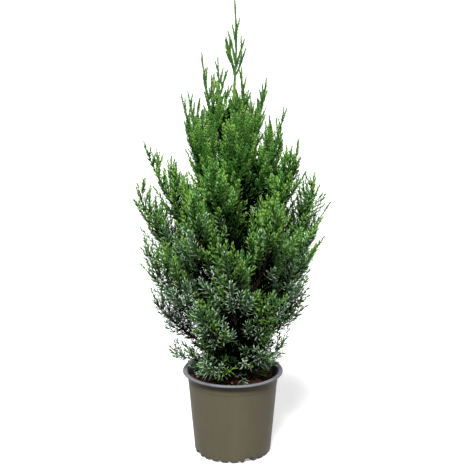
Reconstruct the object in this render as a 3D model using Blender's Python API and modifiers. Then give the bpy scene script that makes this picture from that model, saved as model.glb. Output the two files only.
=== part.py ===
"""A young Chinese juniper in a thin plastic nursery pot: pot, compost, trunk, boughs and masses of foliage.

Metres, +Z up. The origin is the middle of the pot's flat underside, and the front of the plant faces -Y.
"""

import math
import random
from collections import namedtuple

import bmesh
import bpy
import numpy as np
from mathutils import Matrix, Quaternion, Vector

# Pot
POT_HEIGHT = 0.145
RIM_RADIUS = 0.085
POT_WALL = 0.0010
NECK_RADIUS = 0.0773
FOOT_RADIUS = 0.0649
RIM_DROP = 0.0035
RIM_EASE = 0.0020
RING_HEIGHT = 0.1250
RING_STEP = 0.0007
FOOT_BEVEL = 0.0030
PAD_RADIUS = 0.046
NOTCHES = 24
WIDE_NOTCH_EVERY = 6
NOTCH_RISE = 0.0036
WIDE_NOTCH_RISE = 0.0068
NOTCH_TOP = 0.0110
WIDE_NOTCH_AZIMUTH = math.radians(-65)
POT_SEGMENTS = 2 * NOTCHES
MERGE_DISTANCE = 0.00002

# Compost
SOIL_TOP = 0.1310
SOIL_MOUND = 0.0015
MOUND_RADIUS = 0.016
SLOPE_RADIUS = 0.045
SOIL_SEGMENTS = 24
FIT_GAP = 0.0006

# Trunk, from the flat cut on the compost to the foot of the leader
TOUCH_GAP = 0.0003
TRUNK_FOOT = SOIL_TOP + SOIL_MOUND + TOUCH_GAP
TRUNK_TOP = 0.632
TRUNK_RADIUS = 0.0056
TRUNK_TOP_RADIUS = 0.0020
FLARE_RADIUS = 0.0032
FLARE_HEIGHT = 0.014
FLARE_SHARES = (0.0, 0.25, 0.55)
TRUNK_STRETCHES = 9
TRUNK_OFFSET = Vector((0.0045, 0.0, 0.0))
TRUNK_SWAY = 0.0035
LEADER_TIP = Vector((0.003, 0.0, 0.759))
LEADER_SWAY = Vector((0.0025, 0.001, 0.0))

# Half-width of the crown at each height above the pot's underside
CROWN_OUTLINE = (
    (0.135, 0.060),
    (0.165, 0.094),
    (0.200, 0.096),
    (0.235, 0.104),
    (0.270, 0.122),
    (0.310, 0.134),
    (0.350, 0.149),
    (0.400, 0.156),
    (0.460, 0.151),
    (0.520, 0.140),
    (0.560, 0.118),
    (0.600, 0.094),
    (0.650, 0.062),
    (0.700, 0.028),
    (0.765, 0.004),
)

# Tiers of branches from the foot up. The azimuth is in degrees. The heights are where the branches leave the
# trunk and where their tips are, the tilt is how much higher the right-hand tips are than the middle ones, the
# lean is how much further than the outline the left-hand ones reach, as a share of it, and the last two are the
# longest twig and the number of twigs of each mass
Tier = namedtuple("Tier", "name branches first_azimuth root_height tip_height tilt lean longest_twig twigs")
TIERS = (
    Tier("skirt", 6, 180, 0.147, 0.190, 0.014, 0.09, 0.062, 2),
    Tier("low", 6, 183, 0.162, 0.276, 0.012, 0.11, 0.088, 3),
    Tier("belly", 6, 209, 0.182, 0.380, 0.010, 0.08, 0.108, 4),
    Tier("shoulder", 6, 181, 0.222, 0.460, 0.004, 0.08, 0.108, 4),
    Tier("upper", 5, 182, 0.300, 0.532, 0.000, 0.10, 0.096, 3),
    Tier("spire", 5, 210, 0.390, 0.606, -0.008, 0.15, 0.088, 3),
    Tier("crest", 4, 200, 0.480, 0.662, -0.016, 0.22, 0.066, 3),
)
TIERS_ON_BOUGHS = ("low", "belly", "shoulder")
AZIMUTH_WANDER = math.radians(7)
TIP_WANDER = 0.014
ROOT_STEP = 0.0025
REACH_LEAST, REACH_MOST = 0.95, 1.01
SIDE_BOW = 0.006
BEND_LOW = (0.33, 0.25)
BEND_HIGH = (0.80, 0.62)
BOUGH_SHARE = 0.30
BOUGH_STEPS = 2
BOUGH_RADIUS = 0.0030
BOUGH_TIP_RADIUS = 0.0019
COLLAR = 0.004
STEM_STEPS = 5
STEM_TIP_RADIUS = 0.0008
STEM_BARE = 2
FULL_STEM = 0.12
TRUNK_SIDES_STEP, BOUGH_SIDES_STEP = 2, 1

# Twigs of needles
TWIG_TURN = math.radians(271.77)
TWIG_STEP = 0.569840
FIRST_TWIG, LAST_TWIG = 0.04, 0.90
SIXTH_TURN = math.radians(60)
LEADER_TWIG = 0.054
LEADER_TWIGS = 5
LEADER_LAST = 0.62
TWIG_ROOT_RADIUS = 0.0014
TWIG_TIP_RADIUS = 0.0006
TWIG_WHORLS = 3
TWIG_BARE_SHARE = 0.14
TWIG_ANGLE = math.radians(42)
TWIG_LIFT = 0.22

# What changes with height, at these shares of the way from the compost to the tip
LEVELS = (0.0, 0.20, 0.42, 0.62, 0.80, 1.0)
UPWARD_PULL = (0.10, 0.35, 0.75, 1.00, 1.00, 0.80)

# Sizes of twigs and needles, and the room that they keep
SHORTEN_UPWARDS = 0.76
PLUME_RADIUS_LOW, PLUME_RADIUS_HIGH = 0.0075, 0.0022
STEM_PLUME, TWIG_PLUME = 2.2, 0.7
NEEDLE_LOW, NEEDLE_HIGH = 0.023, 0.012
SPREAD_LOW, SPREAD_HIGH = math.radians(52), math.radians(27)
NEEDLE_FALL = 0.8
FULL_TWIG = 0.060
MOST_NEEDLE = 1.25
SHORTER = (1.0, 0.80, 0.62)
MOST_TRIES = 60
CELL_MARGIN = 0.0022
TWIG_SPACING = 0.016
OUTLINE_SLACK = 0.012
LIMB_MARGIN = 0.0010
POT_MARGIN = 0.0020
HIGH_FOLIAGE = 0.45

COLOURS = {
    "pot": (0.150, 0.134, 0.092, 1.0),
    "compost": (0.030, 0.012, 0.007, 1.0),
    "bark": (0.110, 0.052, 0.028, 1.0),
    "foliage_low": (0.032, 0.085, 0.034, 1.0),
    "foliage_high": (0.055, 0.130, 0.030, 1.0),
}


def material(name, roughness):
    """A plain finish of that name, made once."""
    found = bpy.data.materials.get(name)
    if found:
        return found
    made = bpy.data.materials.new(name)
    made.use_nodes = True
    shader = made.node_tree.nodes["Principled BSDF"]
    shader.inputs["Base Color"].default_value = COLOURS[name]
    shader.inputs["Roughness"].default_value = roughness
    shader.inputs["Metallic"].default_value = 0.0
    return made


def placed(name, data, finish, collection):
    """A new object for that mesh or curve, in the collection, with its finish."""
    obj = bpy.data.objects.new(name, data)
    collection.objects.link(obj)
    if finish:
        obj.data.materials.append(finish)
    return obj


def applied(obj):
    """The object with its evaluated mesh in place of its own, and no modifiers."""
    bpy.context.view_layer.update()
    graph = bpy.context.evaluated_depsgraph_get()
    mesh = bpy.data.meshes.new_from_object(obj.evaluated_get(graph))
    obj.modifiers.clear()
    old = obj.data
    obj.data = mesh
    bpy.data.meshes.remove(old)
    return obj


def turned(name, profile, segments, finish, collection):
    """A profile of (radius, height) points turned once round Z."""
    mesh = bpy.data.meshes.new(name)
    points = [(radius, 0.0, height) for radius, height in profile]
    mesh.from_pydata(points, [(i, i + 1) for i in range(len(points) - 1)], [])
    obj = placed(name, mesh, finish, collection)
    screw = obj.modifiers.new("turn", "SCREW")
    screw.steps = screw.render_steps = segments
    screw.use_merge_vertices = True
    screw.merge_threshold = MERGE_DISTANCE
    applied(obj)
    obj.data.shade_smooth()
    obj.data.set_sharp_from_angle(angle=math.radians(40))
    return obj


def wall_radius(height):
    """Outer radius of the pot's wall, which tapers from the neck to the foot."""
    return FOOT_RADIUS + (NECK_RADIUS - FOOT_RADIUS) * height / POT_HEIGHT


def notch_rise(azimuth):
    """How far the foot is cut up at that azimuth: by small notches, with a wide one every quarter turn."""
    step = round((azimuth - WIDE_NOTCH_AZIMUTH) * POT_SEGMENTS / (2 * math.pi)) % POT_SEGMENTS
    from_wide = step % (2 * WIDE_NOTCH_EVERY)
    if from_wide in (0, 1, 2 * WIDE_NOTCH_EVERY - 1):
        return WIDE_NOTCH_RISE
    return NOTCH_RISE if step % 2 == 0 else 0.0


def make_pot(collection):
    """The thin pot: a rolled rim, a stacking ring, a tapered wall, and a foot with drainage notches."""
    lip = RIM_RADIUS - POT_WALL
    top = POT_HEIGHT - POT_WALL
    profile = [
        (lip, POT_HEIGHT - RIM_DROP),
        (lip, top),
        (NECK_RADIUS + 0.6 * RIM_EASE, top),
        (NECK_RADIUS, top - RIM_EASE),
        (wall_radius(RING_HEIGHT) + RING_STEP, RING_HEIGHT),
        (wall_radius(RING_HEIGHT - 2 * RING_STEP), RING_HEIGHT - 2 * RING_STEP),
        (wall_radius(NOTCH_TOP), NOTCH_TOP),
        (FOOT_RADIUS - 0.2 * FOOT_BEVEL, 0.6 * FOOT_BEVEL),
        (FOOT_RADIUS - FOOT_BEVEL, 0.0),
        (PAD_RADIUS, 0.0),
        (0.0, 0.0),
    ]
    pot = turned("pot", profile, POT_SEGMENTS, material("pot", 0.45), collection)
    pot.data.transform(Matrix.Rotation(WIDE_NOTCH_AZIMUTH, 4, "Z"))
    for vertex in pot.data.vertices:
        x, y, z = vertex.co
        if math.hypot(x, y) > PAD_RADIUS + POT_WALL and z < NOTCH_TOP - POT_WALL:
            vertex.co.z = z + notch_rise(math.atan2(y, x))
    shell = pot.modifiers.new("wall", "SOLIDIFY")
    shell.thickness = POT_WALL
    shell.offset = -1
    shell.use_even_offset = True
    return pot


def make_soil(collection):
    """The compost that fills the pot, a little clear of the wall, with a low mound at the trunk."""
    inside = POT_WALL + FIT_GAP
    profile = [
        (0.0, SOIL_TOP + SOIL_MOUND),
        (MOUND_RADIUS, SOIL_TOP + SOIL_MOUND),
        (SLOPE_RADIUS, SOIL_TOP + 0.4 * SOIL_MOUND),
        (wall_radius(SOIL_TOP) - inside, SOIL_TOP),
        (wall_radius(NOTCH_TOP) - inside, 1.4 * NOTCH_TOP),
        (FOOT_RADIUS - 2 * FOOT_BEVEL, WIDE_NOTCH_RISE + 2 * POT_WALL),
        (PAD_RADIUS - 2 * POT_WALL, inside),
        (0.0, inside),
    ]
    return turned("compost", profile, SOIL_SEGMENTS, material("compost", 0.95), collection)


def trunk_centre(height):
    """The trunk's axis: a slight lean and one slow sway between the compost and the leader."""
    share = (height - TRUNK_FOOT) / (TRUNK_TOP - TRUNK_FOOT)
    lean = TRUNK_OFFSET.lerp(Vector((LEADER_TIP.x, LEADER_TIP.y, 0.0)), share)
    sway = TRUNK_SWAY * math.sin(2 * math.pi * share) * share
    return Vector((lean.x + sway, lean.y - 0.6 * sway, height))


def trunk_radius(height):
    """The trunk's taper, with its root flare in the last centimetre over the compost."""
    share = min(max((height - TRUNK_FOOT) / (TRUNK_TOP - TRUNK_FOOT), 0.0), 1.0)
    flare = FLARE_RADIUS * max(0.0, 1 - (height - TRUNK_FOOT) / FLARE_HEIGHT) ** 2
    return TRUNK_RADIUS + (TRUNK_TOP_RADIUS - TRUNK_RADIUS) * share**0.85 + flare


def limb(name, points, radii, sides_step, finish, collection):
    """A tapering limb: a poly curve with a round section of 4 sides and 2 for each step, and flat ends."""
    curve = bpy.data.curves.new(name, "CURVE")
    curve.dimensions = "3D"
    curve.bevel_depth = 1.0
    curve.bevel_resolution = sides_step
    curve.use_fill_caps = True
    curve.resolution_u = 1
    spline = curve.splines.new("POLY")
    spline.points.add(len(points) - 1)
    for place, point, radius in zip(spline.points, points, radii):
        place.co = (*point, 1.0)
        place.radius = radius
    return placed(name, curve, finish, collection)


def make_trunk(collection):
    """The trunk, whole from its flat cut on the compost to the leader."""
    heights = [TRUNK_FOOT + FLARE_HEIGHT * share for share in FLARE_SHARES]
    step = (TRUNK_TOP - TRUNK_FOOT - FLARE_HEIGHT) / TRUNK_STRETCHES
    heights += [TRUNK_FOOT + FLARE_HEIGHT + step * i for i in range(TRUNK_STRETCHES + 1)]
    points = [trunk_centre(height) for height in heights]
    points[0].xy = points[1].xy
    radii = [trunk_radius(height) for height in heights]
    return limb("trunk", points, radii, TRUNK_SIDES_STEP, material("bark", 0.85), collection)


def crown_radius(height):
    """Half-width of the crown at that height."""
    heights, radii = zip(*CROWN_OUTLINE)
    return float(np.interp(height, heights, radii))


def bezier(corners, share):
    """A point on the cubic curve with those four corners."""
    a, b, c, d = corners
    rest = 1 - share
    return a * rest**3 + b * (3 * rest**2 * share) + c * (3 * rest * share**2) + d * share**3


def plan_branches():
    """Every branch, tier by tier: its name, its root on the trunk, the curve that it follows and its seed."""
    branches = []
    for number, tier in enumerate(TIERS):
        rng = random.Random(f"branches of {tier.name}")
        for index in range(tier.branches):
            azimuth = math.radians(tier.first_azimuth) + 2 * math.pi * index / tier.branches
            azimuth += rng.uniform(-AZIMUTH_WANDER, AZIMUTH_WANDER) * min(index, 1)
            tip_height = tier.tip_height + TIP_WANDER * rng.uniform(-1, 1) * min(index, 1)
            tip_height += tier.tilt * math.cos(azimuth)
            root_height = tier.root_height + ROOT_STEP * (2 * index % tier.branches)
            outward = Vector((math.cos(azimuth), math.sin(azimuth), 0.0))
            reach = crown_radius(tip_height) * (1 - tier.lean * outward.x)
            reach *= rng.uniform(REACH_LEAST, REACH_MOST)
            bow = outward.cross(Vector((0, 0, 1))) * rng.uniform(-SIDE_BOW, SIDE_BOW)
            on_bough = tier.name in TIERS_ON_BOUGHS
            thick = BOUGH_RADIUS if on_bough else BOUGH_TIP_RADIUS
            root = trunk_centre(root_height) + outward * (trunk_radius(root_height - thick) + TOUCH_GAP)
            start = root + outward * COLLAR
            rise = Vector((0, 0, tip_height - root_height))
            corners = (
                start,
                start + outward * (BEND_LOW[0] * reach) + rise * BEND_LOW[1] + bow,
                start + outward * (BEND_HIGH[0] * reach) + rise * BEND_HIGH[1] + bow * 2,
                outward * reach + Vector((0, 0, tip_height)),
            )
            branches.append(
                {
                    "name": f"{tier.name}_{index + 1}",
                    "tier": tier,
                    "on_bough": on_bough,
                    "root": root,
                    "corners": corners,
                    "seed": 100 * number + index,
                }
            )
    return branches


def bough_line(branch):
    """Points along the bare inner part of a branch, from the trunk to where it enters its mass."""
    shares = [BOUGH_SHARE * i / BOUGH_STEPS for i in range(BOUGH_STEPS + 1)]
    return [branch["root"]] + [bezier(branch["corners"], share) for share in shares]


def stem_line(branch):
    """Points along the stem of a branch's mass, from its bough's tip or the trunk to its own tip."""
    first = BOUGH_SHARE if branch["on_bough"] else 0.0
    shares = [first + (1 - first) * i / STEM_STEPS for i in range(STEM_STEPS + 1)]
    points = [bezier(branch["corners"], share) for share in shares]
    if not branch["on_bough"]:
        return [branch["root"]] + points
    bough = bough_line(branch)
    along = (bough[-1] - bough[-2]).normalized()
    return [points[0] + along * TOUCH_GAP, points[0] + along * COLLAR] + points[1:]


def leader_line():
    """Points along the leader, from the trunk's top to the tip of the plant."""
    foot = trunk_centre(TRUNK_TOP)
    first = (foot - trunk_centre(TRUNK_TOP - COLLAR)).normalized()
    line = [foot + first * TOUCH_GAP, foot + first * COLLAR]
    for i in range(1, STEM_STEPS + 1):
        share = i / STEM_STEPS
        line.append(foot.lerp(LEADER_TIP, share) + LEADER_SWAY * math.sin(math.pi * share))
    return line


def split_side(side, top, along):
    """Splits a four-cornered side by its steeper diagonal, and gives the half that has its lower edge."""
    foot = [vertex for vertex in side.verts if vertex not in top.verts]
    head = [vertex for vertex in side.verts if vertex in top.verts]
    joined_already = [set(edge.verts) for edge in side.edges]
    diagonals = [(a, b) for a in foot for b in head if {a, b} not in joined_already]
    steeper = min(diagonals, key=lambda pair: (pair[0].co - pair[1].co).cross(along).length)
    halves = (side, bmesh.utils.face_split(side, *steeper)[0])
    return next(half for half in halves if sum(vertex in foot for vertex in half.verts) == 2)


def whorled_shoot(points, radii, bare, needle, spread):
    """A three-sided twig along those points, as a closed bmesh. Each stretch is turned a sixth of a turn on
    the one below, and past the bare ones the lower half of each side is drawn out into a needle."""
    shoot = bmesh.new()
    along = [(b - a).normalized() for a, b in zip(points, points[1:])]
    made = bmesh.ops.create_cone(
        shoot, cap_ends=True, segments=3, radius1=radii[0], radius2=radii[1], depth=1.0
    )
    upright = Vector((0, 0, 1)).rotation_difference(along[0])
    for vertex in made["verts"]:
        end = 1 if vertex.co.z > 0 else 0
        flat = Vector((vertex.co.x, vertex.co.y, 0.0))
        vertex.co = points[end] + upright @ flat
    top = max(shoot.faces, key=lambda face: face.calc_center_median().dot(along[0]))
    for i in range(1, len(points) - 1):
        top = bmesh.ops.extrude_discrete_faces(shoot, faces=[top])["faces"][0]
        bend = along[i - 1].rotation_difference(along[i]) @ Quaternion(along[i - 1], SIXTH_TURN)
        for vertex in top.verts:
            vertex.co = points[i + 1] + bend @ (vertex.co - points[i]) * (radii[i + 1] / radii[i])
        sides = [face for edge in top.edges for face in edge.link_faces if face != top]
        lower = [split_side(side, top, along[i]) for side in sides]
        if i >= bare:
            for vertex in bmesh.ops.poke(shoot, faces=lower)["verts"]:
                middle = points[i].lerp(points[i + 1], 1 / 3)
                outward = vertex.co - middle
                outward = (outward - outward.project(along[i])).normalized()
                reach = outward * math.sin(spread) + along[i] * math.cos(spread)
                vertex.co += reach * needle
    return shoot


def segments_of(points):
    """The stretches between those points, as two arrays of their ends."""
    ends = np.array([tuple(point) for point in points])
    return ends[:-1], ends[1:]


def distances(places, starts, stops):
    """How far each place is from each stretch."""
    along = stops - starts
    offset = places[:, None, :] - starts[None]
    share = (offset * along).sum(2) / np.maximum((along * along).sum(1), 1e-12)
    nearest = np.clip(share, 0, 1)[..., None] * along[None]
    return np.linalg.norm(offset - nearest, axis=2)


class Space:
    """The space of each mass: nearer its own stem than another's, clear of limbs and pot, in the outline and
    below the plant's tip."""

    def __init__(self, stems, limbs):
        stretches = [segments_of(points) for points in stems.values()]
        self.stems = [np.vstack(ends) for ends in zip(*stretches)]
        self.owners = np.repeat(list(stems), [len(starts) for starts, _ in stretches])
        self.limbs = [np.vstack(ends) for ends in zip(*(segments_of(points) for points, _ in limbs))]
        self.limb_radii = np.concatenate([np.maximum(radii[1:], radii[:-1]) for _, radii in limbs])

    def holds(self, name, shoot):
        """Whether that shoot keeps to the space of the mass of that name."""
        corners = [tuple(vertex.co) for vertex in shoot.verts]
        middles = [tuple((edge.verts[0].co + edge.verts[1].co) / 2) for edge in shoot.edges]
        places = np.array(corners + middles)
        if (distances(places, *self.limbs) < self.limb_radii + LIMB_MARGIN).any():
            return False
        away = distances(places, *self.stems)
        own = away[:, self.owners == name].min(1)
        others = away[:, self.owners != name].min(1)
        if (own + CELL_MARGIN > others).any():
            return False
        across = np.hypot(places[:, 0], places[:, 1])
        over_pot = across < RIM_RADIUS + POT_MARGIN
        floor = np.where(across < NECK_RADIUS - 2 * POT_MARGIN, TRUNK_FOOT, POT_HEIGHT) + POT_MARGIN
        if (over_pot & (places[:, 2] < floor)).any() or (places[:, 2] < TRUNK_FOOT).any():
            return False
        if (places[:, 2] > LEADER_TIP.z).any():
            return False
        outline = np.array([crown_radius(height) for height in places[:, 2]])
        return bool((across < outline + OUTLINE_SLACK).all())


def height_share(height):
    """0 at the foot of the crown and 1 at its top, for what changes on the way up."""
    return min(max((height - SOIL_TOP) / (LEADER_TIP.z - SOIL_TOP), 0.0), 1.0)


def needle_size(height):
    """Length and spread of the needles at that height, and radius of their plume: less of each higher up."""
    share = height_share(height) ** NEEDLE_FALL
    pairs = (NEEDLE_LOW, NEEDLE_HIGH), (SPREAD_LOW, SPREAD_HIGH), (PLUME_RADIUS_LOW, PLUME_RADIUS_HIGH)
    return [low + (high - low) * share for low, high in pairs]


def point_along(points, share):
    """The point and the direction at that share of a line's length."""
    lengths = [(b - a).length for a, b in zip(points, points[1:])]
    left = share * sum(lengths)
    for a, b, length in zip(points, points[1:], lengths):
        if left <= length:
            return a.lerp(b, left / length), (b - a).normalized()
        left -= length
    return points[-1], (points[-1] - points[-2]).normalized()


def twig_plans(line, seed, longest, last):
    """The endless row of twigs of a stem, by even turns and steps: the root, direction and length of each."""
    rng = random.Random(seed)
    start = rng.uniform(0, 2 * math.pi)
    pull = float(np.interp(height_share(line[len(line) // 2].z), LEVELS, UPWARD_PULL))
    number = 0
    while True:
        share = FIRST_TWIG + (TWIG_STEP * number) % 1 * (last - FIRST_TWIG)
        root, along = point_along(line, share)
        side = along.orthogonal().normalized()
        side = Quaternion(along, start + number * TWIG_TURN) @ side
        angle = TWIG_ANGLE * rng.uniform(0.8, 1.15)
        heading = along * math.cos(angle) + side * math.sin(angle)
        heading = (heading + Vector((0, 0, pull))).normalized()
        length = longest * (1 - SHORTEN_UPWARDS * share) * rng.uniform(0.85, 1.1)
        yield root, heading, length
        number += 1


def twig_line(root, heading, length):
    """Points along a twig: a bare foot, then a stretch for each whorl, rising a little on the way."""
    shares = [0.0, TWIG_BARE_SHARE]
    shares += [TWIG_BARE_SHARE + (1 - TWIG_BARE_SHARE) * (i + 1) / TWIG_WHORLS for i in range(TWIG_WHORLS)]
    lift = Vector((0, 0, TWIG_LIFT * length))
    return [root + heading * (length * share) + lift * share**2 for share in shares]


def crowded(path, others, spacing):
    """Whether the outer part of that twig comes closer than the spacing to one of the others."""
    outer = np.array([tuple(point) for point in path[2:]])
    return any((distances(outer, *segments_of(other)) < spacing).any() for other in others)


def tapered(first, last, count):
    """Radii that fall evenly from the first to the last."""
    return [first + (last - first) * i / (count - 1) for i in range(count)]


def plumed(first, middle, last, count):
    """Radii that swell from the first to the middle one, a third of the way up, and fall to the last."""
    shares = [i / (count - 1) for i in range(count)]
    return [float(radius) for radius in np.interp(shares, (0, 0.35, 0.6, 1), (first, middle, middle, last))]


def mesh_of(name, shoot):
    """That bmesh as a mesh, and frees it."""
    mesh = bpy.data.meshes.new(name)
    shoot.to_mesh(mesh)
    shoot.free()
    return mesh


def joined(name, shoots, finish, collection):
    """The first shoot with the rest fused on by one Boolean union."""
    obj = placed(name, mesh_of(name, shoots[0]), finish, collection)
    twigs = bpy.data.collections.new(f"twigs of {name}")
    bpy.context.scene.collection.children.link(twigs)
    for number, shoot in enumerate(shoots[1:]):
        placed(f"{name}_twig_{number}", mesh_of(f"{name}_twig_{number}", shoot), None, twigs)
    fuse = obj.modifiers.new("fuse", "BOOLEAN")
    fuse.operation = "UNION"
    fuse.operand_type = "COLLECTION"
    fuse.collection = twigs
    fuse.solver = "EXACT"
    applied(obj)
    for twig in list(twigs.objects):
        bpy.data.objects.remove(twig)
    bpy.data.collections.remove(twigs)
    return obj


def make_mass(name, line, root_radius, seed, longest, wanted, space, collection):
    """One mass of foliage: its stem, and the twigs of needles that fit in its space, fused on."""
    needle, spread, plume = needle_size(line[-1].z)
    size = min(1.0, (line[-1] - line[0]).length / FULL_STEM)
    radii = plumed(root_radius, STEM_PLUME * size * plume, STEM_TIP_RADIUS, len(line))
    needle *= size
    shoots = [whorled_shoot(line, radii, STEM_BARE, needle, spread)]
    plans = twig_plans(line, seed, longest, LEADER_LAST if name == "foliage_leader" else LAST_TWIG)
    paths = []
    for _ in range(MOST_TRIES):
        if len(paths) == wanted:
            break
        root, heading, length = next(plans)
        needle, spread, plume = needle_size(root.z)
        needle *= min(MOST_NEEDLE, length / FULL_TWIG)
        for shorter in SHORTER:
            path = twig_line(root, heading, length * shorter)
            if crowded(path, paths, shorter * TWIG_SPACING):
                continue
            sizes = plumed(TWIG_ROOT_RADIUS, TWIG_PLUME * plume, TWIG_TIP_RADIUS, len(path))
            shoot = whorled_shoot(path, sizes, 1, needle * shorter**0.5, spread)
            if space.holds(name, shoot):
                shoots.append(shoot)
                paths.append(path)
                break
            shoot.free()
    finish = material("foliage_high" if line[-1].z > HIGH_FOLIAGE else "foliage_low", 0.6)
    return joined(name, shoots, finish, collection)


def main():
    for obj in list(bpy.data.objects):
        bpy.data.objects.remove(obj)
    plant = bpy.data.collections.new("chinese_juniper")
    bpy.context.scene.collection.children.link(plant)
    make_pot(plant)
    make_soil(plant)
    make_trunk(plant)

    branches = plan_branches()
    stems = {f"foliage_{branch['name']}": stem_line(branch) for branch in branches}
    stems["foliage_leader"] = leader_line()
    trunk_heights = np.linspace(TRUNK_FOOT, TRUNK_TOP, 24)
    limbs = [([trunk_centre(z) for z in trunk_heights], [trunk_radius(z) for z in trunk_heights])]
    for branch in branches:
        if branch["on_bough"]:
            line = bough_line(branch)
            radii = tapered(BOUGH_RADIUS, BOUGH_TIP_RADIUS, len(line))
            limb(f"bough_{branch['name']}", line, radii, BOUGH_SIDES_STEP, material("bark", 0.85), plant)
            limbs.append((line, radii))
    space = Space(stems, limbs)
    for branch in branches:
        tier = branch["tier"]
        name = f"foliage_{branch['name']}"
        line = stems[name]
        make_mass(name, line, BOUGH_TIP_RADIUS, branch["seed"], tier.longest_twig, tier.twigs, space, plant)
    line = stems["foliage_leader"]
    make_mass("foliage_leader", line, TRUNK_TOP_RADIUS, 0, LEADER_TWIG, LEADER_TWIGS, space, plant)


main()
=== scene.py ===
"""Looks of a young Chinese juniper in a thin nursery pot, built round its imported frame.

Metres, +Z up. The foliage grows on the same stems and by the same rule of twigs as the solids. It is carried
on to finer shoots, all clothed in whorls of three needles: long and open low down, short and close high up.
"""

import itertools
import math
import random
from collections import namedtuple

import bmesh
import bpy
import numpy as np
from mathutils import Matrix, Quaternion, Vector, noise


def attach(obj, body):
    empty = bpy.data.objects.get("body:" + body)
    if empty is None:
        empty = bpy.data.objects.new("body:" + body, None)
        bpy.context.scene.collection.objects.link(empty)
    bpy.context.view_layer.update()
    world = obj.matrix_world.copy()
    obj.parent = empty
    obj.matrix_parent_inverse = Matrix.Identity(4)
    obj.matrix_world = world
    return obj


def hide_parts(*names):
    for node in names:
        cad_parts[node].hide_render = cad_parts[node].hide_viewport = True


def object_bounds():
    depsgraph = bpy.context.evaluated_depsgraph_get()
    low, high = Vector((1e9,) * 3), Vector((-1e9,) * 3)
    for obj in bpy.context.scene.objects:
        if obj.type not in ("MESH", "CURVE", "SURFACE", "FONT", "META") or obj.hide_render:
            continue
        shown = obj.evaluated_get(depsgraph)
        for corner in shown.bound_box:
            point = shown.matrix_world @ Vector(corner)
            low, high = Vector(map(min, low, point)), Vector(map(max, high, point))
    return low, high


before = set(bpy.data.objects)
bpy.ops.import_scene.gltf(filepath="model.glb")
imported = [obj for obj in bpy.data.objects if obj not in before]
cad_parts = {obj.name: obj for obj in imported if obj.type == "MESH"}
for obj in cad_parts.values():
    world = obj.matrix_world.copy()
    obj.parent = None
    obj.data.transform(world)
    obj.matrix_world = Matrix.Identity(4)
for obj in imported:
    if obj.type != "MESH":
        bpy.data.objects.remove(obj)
cad_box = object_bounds()

# Pot and compost
POT_HEIGHT = 0.145
RIM_RADIUS = 0.085
POT_WALL = 0.0010
NECK_RADIUS = 0.0773
FOOT_RADIUS = 0.0649
RING_HEIGHT = 0.1250
PAD_RADIUS = 0.046
NOTCHES = 24
WIDE_NOTCH_EVERY = 6
NOTCH_RISE = 0.0040
WIDE_NOTCH_RISE = 0.0068
NOTCH_TOP = 0.0110
NOTCH_HALF = math.radians(4.4)
WIDE_NOTCH_HALF = math.radians(8.2)
WIDE_NOTCH_EDGE = math.radians(2.2)
WIDE_NOTCH_AZIMUTH = math.radians(-65)
POT_SEGMENTS = 10 * NOTCHES
SOIL_TOP = 0.1310
SOIL_MOUND = 0.0015
MOUND_REACH = 0.055
SOIL_SUNK = 0.0006
LUMP_HEIGHT, LUMPS_A_METRE = 0.0016, 130
CRUMB_HEIGHT, CRUMBS_A_METRE = 0.0010, 330
EVEN_REACH = 0.012
SOIL_SEGMENTS = 144
SOIL_RINGS = 58
FIT_GAP = 0.0006
CHIP_RIM_GAP = 0.0045
CHIP_TRUNK_GAP = 0.010
CHIP_LENGTHS, CHIP_WIDTHS, CHIP_DEPTHS = (0.45, 1.0), (0.3, 0.6), (0.14, 0.3)
CHIP_BLUNTNESS, CHIP_TILT = 0.17, 0.75
CHIP_CLEAR, CHIP_LIFT = 0.25, 0.0012

# Trunk
TOUCH_GAP = 0.0003
TRUNK_FOOT = SOIL_TOP + SOIL_MOUND + TOUCH_GAP
TRUNK_TOP = 0.632
TRUNK_RADIUS = 0.0056
TRUNK_TOP_RADIUS = 0.0020
FLARE_RADIUS = 0.0032
FLARE_HEIGHT = 0.014
TRUNK_OFFSET = Vector((0.0045, 0.0, 0.0))
TRUNK_SWAY, SIDE_SWAY = 0.0035, 0.6
LEADER_TIP = Vector((0.003, 0.0, 0.759))
LEADER_SWAY = Vector((0.0025, 0.001, 0.0))
TRUNK_FALL = 0.85
TRUNK_SUNK = 0.003
TRUNK_SIDES = 28
GREEN_TRUNK = 0.47
RING_STEP = 0.0022
BARK_STRIPS, BARK_CRACKS = 0.09, 0.05
STRIPS_ROUND, STRIPS_A_METRE = 2.6, 42
CRACKS_ROUND, CRACKS_ALONG = 2.7, 1.9

# Half-width of the crown at each height above the pot's underside
CROWN_OUTLINE = (
    (0.135, 0.060),
    (0.165, 0.094),
    (0.200, 0.096),
    (0.235, 0.104),
    (0.270, 0.122),
    (0.310, 0.134),
    (0.350, 0.149),
    (0.400, 0.156),
    (0.460, 0.151),
    (0.520, 0.140),
    (0.560, 0.118),
    (0.600, 0.094),
    (0.650, 0.062),
    (0.700, 0.028),
    (0.765, 0.004),
)

# Tiers of branches from the foot up, as in the solids, with the longer and more numerous twigs grown here
Tier = namedtuple(
    "Tier", "name branches first_azimuth root_height tip_height tilt lean longest_twig twigs part"
)
TIERS = (
    Tier("skirt", 6, 180, 0.147, 0.190, 0.014, 0.09, 0.066, 34, "lower"),
    Tier("low", 6, 183, 0.162, 0.276, 0.012, 0.11, 0.092, 52, "lower"),
    Tier("belly", 6, 209, 0.182, 0.380, 0.010, 0.08, 0.112, 64, "middle"),
    Tier("shoulder", 6, 181, 0.222, 0.460, 0.004, 0.08, 0.112, 64, "middle"),
    Tier("upper", 5, 182, 0.300, 0.532, 0.000, 0.10, 0.112, 62, "upper"),
    Tier("spire", 5, 210, 0.390, 0.606, -0.008, 0.15, 0.098, 44, "upper"),
    Tier("crest", 4, 200, 0.480, 0.662, -0.016, 0.22, 0.072, 25, "upper"),
)
TIERS_ON_BOUGHS = ("low", "belly", "shoulder")
AZIMUTH_WANDER = math.radians(7)
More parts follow.
